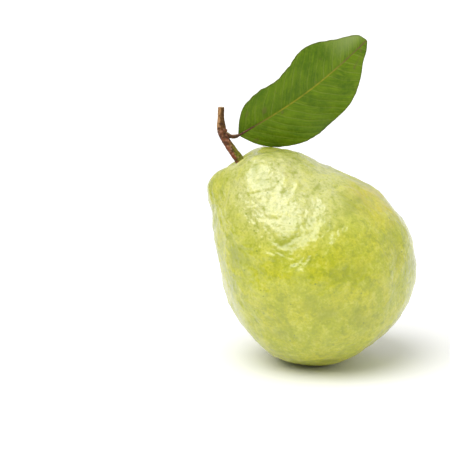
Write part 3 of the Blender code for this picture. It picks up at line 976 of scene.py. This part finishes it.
def bark_material():
    make = Recipe("twig_bark")
    along = make.attribute("along_twig")
    left = make.attribute("left_side")
    streaks = make.noise(BARK_STREAK, 4.0, 0.6, 0.4, make.stretched(1.0, 1.0, 0.28))
    patches = make.noise(BARK_PATCH, 3.0, 0.5)
    # Painted light and shade: lit grows towards the twig's left, where the key light comes from.
    # The upper twig is painted tan on that side and dark on the other, and its node pink on that
    # side; the lower twig is red on its left and green on its right.
    lit = make.math("ADD", left, make.spread(patches, 0.3, 0.7, -0.35, 0.35))
    upper = make.mix(make.spread(lit, 0.1, 0.5), BARK_DARK, BARK_TAN)
    middle = make.mix(make.spread(streaks, 0.35, 0.65), BARK_BROWN, BARK_RED)
    lower = make.mix(make.spread(lit, -0.1, 0.4), BARK_GREEN, BARK_RED)
    colour = make.mix(make.spread(along, 0.6, 0.78), middle, upper)
    colour = make.mix(make.spread(along, 0.3, 0.5, 1.0, 0.0), colour, lower)
    node = make.math("SUBTRACT", along, NODE_SHARE)
    node = make.spread(make.math("ABSOLUTE", node), 0.0, 0.06, 0.55, 0.0)
    colour = make.mix(make.math("MULTIPLY", node, make.spread(lit, -0.2, 0.5)), colour, BARK_PINK)
    colour = make.mix(make.spread(streaks, 0.56, 0.74, 0.0, 0.3), colour, BARK_TAN)
    colour = make.mix(make.spread(patches, 0.3, 0.44, 0.6, 0.0), colour, BARK_CRACK)
    colour = make.mix(make.spread(streaks, 0.28, 0.44, 0.7, 0.0), colour, BARK_CRACK)
    stains = make.noise(BARK_STAIN, 2.0, 0.5)
    colour = make.mix(make.spread(stains, 0.34, 0.48, 0.7, 0.0), colour, BARK_CRACK)
    flecks = make.cells(BARK_FLECK_SPACING).outputs["Distance"]
    colour = make.mix(make.spread(flecks, 0.14, 0.4, 0.6, 0.0), colour, BARK_PINK)
    colour = make.mix(make.spread(make.attribute("cut_end"), 0.2, 0.6), colour, BARK_PALE)
    normal = make.bump(streaks, BARK_STREAK_DEPTH)
    normal = make.bump(make.noise(BARK_GRAIN, 3.0), BARK_GRAIN_DEPTH, normal)
    rough = make.spread(patches, 0.3, 0.7, 0.58, 0.8)
    make.set(Base_Color=colour, Roughness=rough, Normal=normal, Specular_IOR_Level=0.2)
    return make.material


def vein_lines(make, times, width):
    """1 along the side veins, or along lines that many times as close, and 0 between them."""
    phase = make.math("MULTIPLY", make.attribute("vein_phase"), times)
    away = make.math("SUBTRACT", make.math("FRACT", make.math("ADD", phase, 0.5)), 0.5)
    return make.spread(make.math("ABSOLUTE", away), 0.0, width, 1.0, 0.0)


def vein_streaks(make):
    """Noise drawn out along the side veins."""
    parts = {0: make.math("MULTIPLY", make.attribute("vein_phase"), 5.0)}
    parts[1] = make.math("MULTIPLY", make.attribute("from_rib"), 0.22 / MM)
    place = make.add("ShaderNodeCombineXYZ", {}, parts).outputs[0]
    return make.noise(1.0, 3.0, 0.55, 0.0, place)


def leaf_colour(make, fine):
    """The colour of the upper side of the blade."""
    rib, edge = make.attribute("from_rib"), make.attribute("from_edge")
    along = make.attribute("along_leaf")
    broad = make.noise(LEAF_MOTTLE, 3.0, 0.5, 0.4)
    colour = make.mix(make.spread(broad, 0.32, 0.68), LEAF_DARK, LEAF_GREEN)
    colour = make.mix(make.spread(along, 0.0, 0.2, 0.1, 0.0), colour, LEAF_DARK)
    colour = make.mix(make.spread(fine, 0.4, 0.75, 0.0, 0.4), colour, LEAF_LIGHT)
    streaks = vein_streaks(make)
    colour = make.mix(make.spread(streaks, 0.52, 0.7, 0.0, 0.5), colour, LEAF_LIGHT)
    colour = make.mix(make.spread(streaks, 0.3, 0.48, 0.55, 0.0), colour, LEAF_STRIPE)
    upper_half = make.spread(rib, -0.5 * MM, 1.5 * MM)
    stripes = make.math("MULTIPLY", vein_lines(make, 2.0, 0.32), upper_half)
    stripes = make.math("MULTIPLY", stripes, make.spread(fine, 0.25, 0.7, 0.05, 0.42))
    colour = make.mix(stripes, colour, LEAF_STRIPE)
    strong = make.spread(broad, 0.35, 0.6, 0.25, 0.85)
    veins = make.math("MULTIPLY", vein_lines(make, 1.0, 0.085), strong)
    colour = make.mix(veins, colour, LEAF_VEIN)
    blotch = make.noise(LEAF_BLOTCH_SIZE, 2.0, 0.5, 1.2)
    colour = make.mix(make.spread(blotch, 0.66, 0.76, 0.0, 0.55), colour, LEAF_BLOTCH)
    # Painted sheen: the upper half near the tip is painted paler, as if it caught the light.
    sheen = make.math("MULTIPLY", make.spread(along, 0.72, 0.95), make.spread(rib, 0.0, 6 * MM))
    colour = make.mix(make.math("MULTIPLY", sheen, 0.6), colour, LEAF_SHEEN)
    edge = make.math("ADD", edge, make.spread(fine, 0.2, 0.8, -0.25 * MM, 0.25 * MM))
    colour = make.mix(make.spread(edge, 0.1 * MM, 0.75 * MM, 0.65, 0.0), colour, LEAF_MARGIN)
    after_base = make.spread(along, 0.1, 0.3)
    middle = make.math("MULTIPLY", after_base, make.spread(along, 0.65, 0.85, 1.0, 0.0))
    rib_colour = make.mix(middle, LEAF_RIB_BROWN, LEAF_RIB)
    on_rib = make.spread(make.math("ABSOLUTE", rib), 0.15 * MM, 0.45 * MM, 1.0, 0.0)
    on_rib = make.math("MULTIPLY", on_rib, make.spread(fine, 0.35, 0.6, 0.45, 0.95))
    return make.mix(on_rib, colour, rib_colour)


def leaf_material():
    make = Recipe("leaf_green")
    fine = make.noise(LEAF_GRAIN, 4.0, 0.6)
    colour = leaf_colour(make, fine)
    under = make.mix(make.spread(fine, 0.3, 0.7), LEAF_UNDER, LEAF_UNDER_PALE)
    under = make.mix(vein_lines(make, 1.0, 0.075), under, LEAF_UNDER_VEIN)
    rib = make.math("ABSOLUTE", make.attribute("from_rib"))
    under = make.mix(make.spread(rib, 0.4 * MM, 0.8 * MM, 0.9, 0.0), under, LEAF_UNDER_VEIN)
    below = make.attribute("under_side")
    colour = make.mix(make.spread(below, 0.45, 0.55), colour, under)
    net = make.cells(LEAF_NET, "DISTANCE_TO_EDGE").outputs["Distance"]
    normal = make.bump(make.spread(net, 0.0, 0.16), LEAF_NET_DEPTH)
    normal = make.bump(fine, LEAF_GRAIN_DEPTH, normal)
    rough = make.spread(fine, 0.3, 0.7, 0.4, 0.55)
    make.set(Base_Color=colour, Roughness=rough, Normal=normal)
    make.set(IOR=1.35, Specular_IOR_Level=0.3)
    return make.material


def petiole_material():
    make = Recipe("petiole")
    # Painted light and shade: the petiole's top, where light falls, is painted pale, tan turning
    # olive near the twig, over the dark brown of its underside.
    top = make.attribute("upper_side")
    streaks = make.noise(PETIOLE_STREAK, 4.0, 0.6, 0.5)
    top = make.math("ADD", top, make.spread(streaks, 0.3, 0.7, -0.3, 0.3))
    colour = make.mix(make.spread(streaks, 0.35, 0.65), PETIOLE_DARK, PETIOLE_BROWN)
    axil = make.near(Vector(PETIOLE_PATH_MM[0][:3]) * MM, AXIL_REACH)
    pale = make.mix(axil, PETIOLE_TAN, PETIOLE_OLIVE)
    colour = make.mix(make.spread(top, 0.25, 0.75), colour, pale)
    normal = make.bump(streaks, PETIOLE_STREAK_DEPTH)
    normal = make.bump(make.noise(PETIOLE_GRAIN, 2.0), PETIOLE_GRAIN_DEPTH, normal)
    rough = make.spread(streaks, 0.3, 0.7, 0.45, 0.65)
    make.set(Base_Color=colour, Roughness=rough, Normal=normal)
    return make.material


def calyx_material():
    make = Recipe("calyx_brown")
    streaks = make.noise(CALYX_STREAK, 4.0, 0.65, 0.8)
    patches = make.noise(CALYX_PATCH, 3.0)
    colour = make.mix(make.spread(streaks, 0.3, 0.7), CALYX_DARK, CALYX_BROWN)
    colour = make.mix(make.spread(patches, 0.5, 0.75, 0.0, 0.7), colour, CALYX_TAN)
    up = make.attribute("up_sepal")
    colour = make.mix(make.spread(up, 0.8 * MM, 2.2 * MM, 0.6, 0.0), colour, SKIN_RING)
    colour = make.mix(make.spread(up, 3.4 * MM, 4.6 * MM, 0.0, 0.5), colour, CALYX_TAN)
    normal = make.bump(streaks, CALYX_STREAK_DEPTH)
    normal = make.bump(make.noise(CALYX_GRAIN, 3.0), CALYX_GRAIN_DEPTH, normal)
    rough = make.spread(patches, 0.3, 0.7, 0.7, 0.9)
    make.set(Base_Color=colour, Roughness=rough, Normal=normal)
    return make.material


def floor_material():
    make = Recipe("studio_floor")
    make.set(Base_Color=FLOOR_COLOUR, Roughness=0.6, Specular_IOR_Level=0.1)
    return make.material


# ---------------------------------------------------------------- the studio


def build_floor():
    shape = bmesh.new()
    bmesh.ops.create_grid(shape, x_segments=1, y_segments=1, size=FLOOR_HALF)
    mesh = bpy.data.meshes.new("studio_floor")
    shape.to_mesh(mesh)
    shape.free()
    floor = bpy.data.objects.new("studio_floor", mesh)
    mesh.materials.append(floor_material())
    bpy.context.scene.collection.objects.link(floor)


def aimed(name, data, place, target):
    """A light or a camera at a place, looking at a target."""
    thing = bpy.data.objects.new(name, data)
    thing.location = place
    thing.rotation_euler = (Vector(target) - Vector(place)).to_track_quat("-Z", "Y").to_euler()
    bpy.context.scene.collection.objects.link(thing)
    return thing


def build_key():
    """A wide soft light that is equally bright over the whole floor."""
    light = bpy.data.lights.new("key", "SUN")
    light.energy = KEY_STRENGTH
    light.angle = KEY_WIDTH
    aimed("key", light, KEY_PLACE, (0, 0, 0))


def build_world():
    """White walls and ceiling, and a dimmer room on the side the photographer stands."""
    world = bpy.data.worlds.new("studio")
    world.use_nodes = True
    tree = world.node_tree
    background = tree.nodes["Background"]
    direction = tree.nodes.new("ShaderNodeTexCoord").outputs["Generated"]
    towards = tree.nodes.new("ShaderNodeVectorMath")
    towards.operation = "DOT_PRODUCT"
    towards.inputs[1].default_value = WORLD_BRIGHT_SIDE
    tree.links.new(direction, towards.inputs[0])
    ramp = tree.nodes.new("ShaderNodeMapRange")
    ramp.interpolation_type = "SMOOTHSTEP"
    for index, value in enumerate(WORLD_RAMP, 1):
        ramp.inputs[index].default_value = value
    tree.links.new(towards.outputs["Value"], ramp.inputs[0])
    tree.links.new(ramp.outputs[0], background.inputs["Strength"])
    background.inputs["Color"].default_value = (1, 1, 1, 1)
    bpy.context.scene.world = world


def build_camera():
    middle = (cad_low + cad_high) / 2
    target = middle + CAMERA_AIM
    back = Vector((0, -math.cos(CAMERA_ELEVATION), math.sin(CAMERA_ELEVATION)))
    data = bpy.data.cameras.new("camera")
    data.lens = CAMERA_LENS
    data.clip_end = 50
    camera = aimed("camera", data, target + back * CAMERA_DISTANCE, target)
    bpy.context.scene.camera = camera


build_world()
build_floor()
build_key()
build_camera()
build_skin()
build_twig()
build_leaf()
build_petiole()
build_calyx()
bpy.context.scene.view_settings.view_transform = "Standard"
